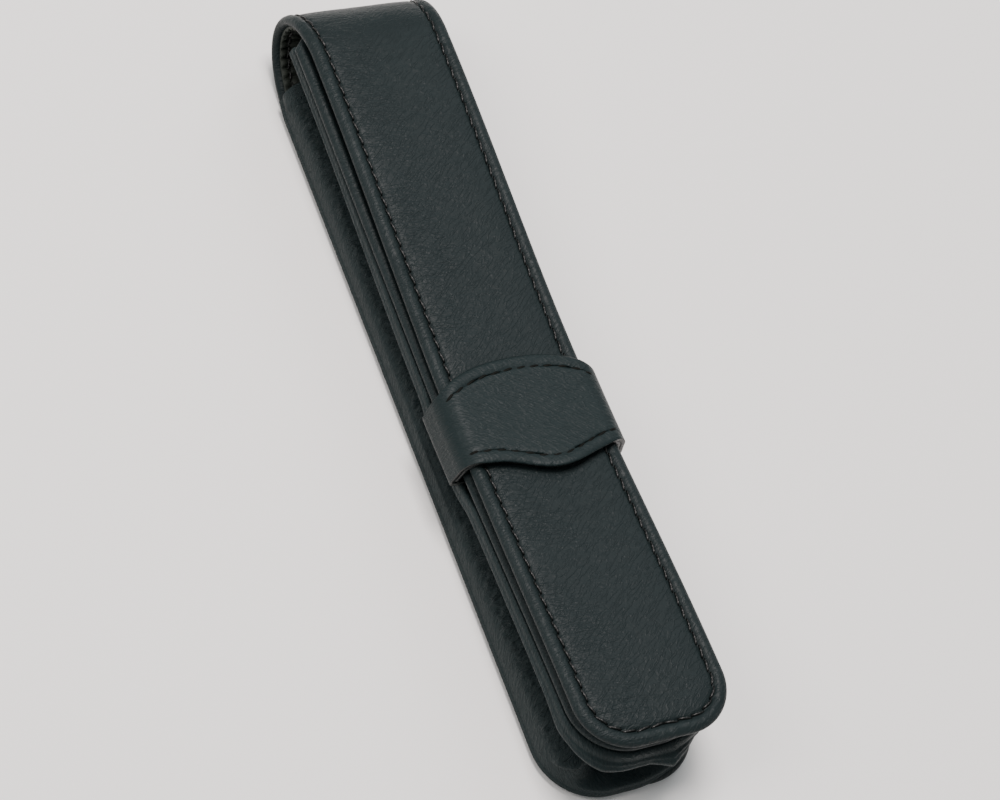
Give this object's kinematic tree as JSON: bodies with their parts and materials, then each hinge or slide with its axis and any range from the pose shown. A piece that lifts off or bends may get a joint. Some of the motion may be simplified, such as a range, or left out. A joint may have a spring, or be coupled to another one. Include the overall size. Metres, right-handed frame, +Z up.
{
  "type": "fountain pen case",
  "caption": "Slim black leather case for one fountain pen: back panel that folds over as a stitched flap, front panel on a V-folded gusset, and a keeper band that holds the flap.",
  "frame": {"origin": "under the middle of the closed case, on the face of the back panel that it rests on", "axes": "+X across the case, +Y along it from the rounded end to the fold over the mouth, +Z up out of the back panel towards the flap"},
  "size_m": [0.0366, 0.172, 0.0241],
  "materials": {
    "black_leather": "pebbled semi-matt",
    "gusset_leather": "thin creased matt",
    "lining_leather": "smooth matt",
    "leatherboard": "pressed fibre",
    "waxed_thread": "waxed twist"
  },
  "bodies": {
    "case": {"back_leather": "black_leather", "back_board": "leatherboard", "back_lining": "lining_leather", "back_thread": "waxed_thread", "gusset_leather": "gusset_leather", "front_leather": "black_leather", "front_board": "leatherboard", "front_lining": "lining_leather", "front_thread": "waxed_thread", "keeper_leather": "black_leather", "keeper_lining": "lining_leather", "keeper_thread_upper": "waxed_thread", "keeper_thread_lower": "waxed_thread"},
    "fold_a": {"fold_leather_1": "black_leather", "fold_lining_1": "lining_leather"},
    "fold_b": {"fold_leather_2": "black_leather", "fold_lining_2": "lining_leather"},
    "fold_c": {"fold_leather_3": "black_leather", "fold_lining_3": "lining_leather"},
    "flap": {"flap_leather": "black_leather", "flap_board": "leatherboard", "flap_lining": "lining_leather", "flap_thread": "waxed_thread"}
  },
  "joints": [
    {"name": "fold_hinge_1", "type": "hinge", "parent": "case", "child": "fold_a", "pos_m": [0, 0.07997, 0.00188], "axis": [-1, 0, 0], "range_deg": [0, 44.5], "deforming": ["keeper_leather", "keeper_lining", "keeper_thread_upper", "keeper_thread_lower"]},
    {"name": "fold_hinge_2", "type": "hinge", "parent": "fold_a", "child": "fold_b", "pos_m": [0, 0.08496, 0.00688], "axis": [-1, 0, 0], "range_deg": [0, 44.5]},
    {"name": "fold_hinge_3", "type": "hinge", "parent": "fold_b", "child": "fold_c", "pos_m": [0, 0.08496, 0.01542], "axis": [-1, 0, 0], "range_deg": [0, 44.5]},
    {"name": "fold_hinge_4", "type": "hinge", "parent": "fold_c", "child": "flap", "pos_m": [0, 0.07997, 0.02041], "axis": [-1, 0, 0], "range_deg": [0, 44.5]}
  ],
  "couplings": [
    {"joint": "fold_hinge_2", "follows": "fold_hinge_1", "ratio": 1},
    {"joint": "fold_hinge_3", "follows": "fold_hinge_1", "ratio": 1},
    {"joint": "fold_hinge_4", "follows": "fold_hinge_1", "ratio": 1}
  ]
}
